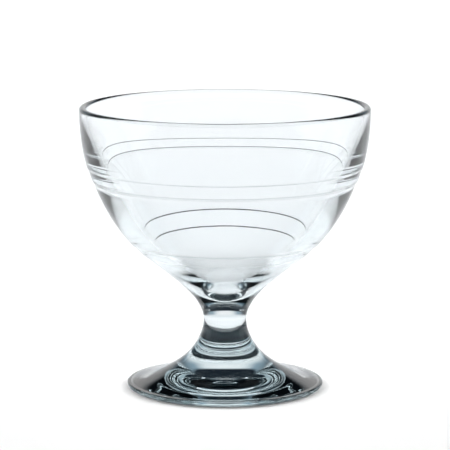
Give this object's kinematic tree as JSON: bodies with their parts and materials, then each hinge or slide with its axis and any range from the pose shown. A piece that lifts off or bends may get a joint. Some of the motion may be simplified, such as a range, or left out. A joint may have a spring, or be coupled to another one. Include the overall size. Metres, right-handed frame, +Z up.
{
  "type": "dessert coupe",
  "caption": "Footed dessert coupe in clear pressed glass: a deep rounded bowl with moulded ring lines on a short waisted stem and a spreading round foot.",
  "frame": {"origin": "centre of the base, in the plane that the foot rests on", "axes": "+Z up along the axis that every piece is turned round; +X and +Y are alike"},
  "size_m": [0.1046, 0.1046, 0.1023],
  "materials": {
    "clear_glass": "clear pressed glass, fire-polished, with a faint blue-green tint in its thickness"
  },
  "bodies": {
    "root": {"foot": "clear_glass", "stem": "clear_glass", "bowl": "clear_glass"}
  },
  "joints": []
}
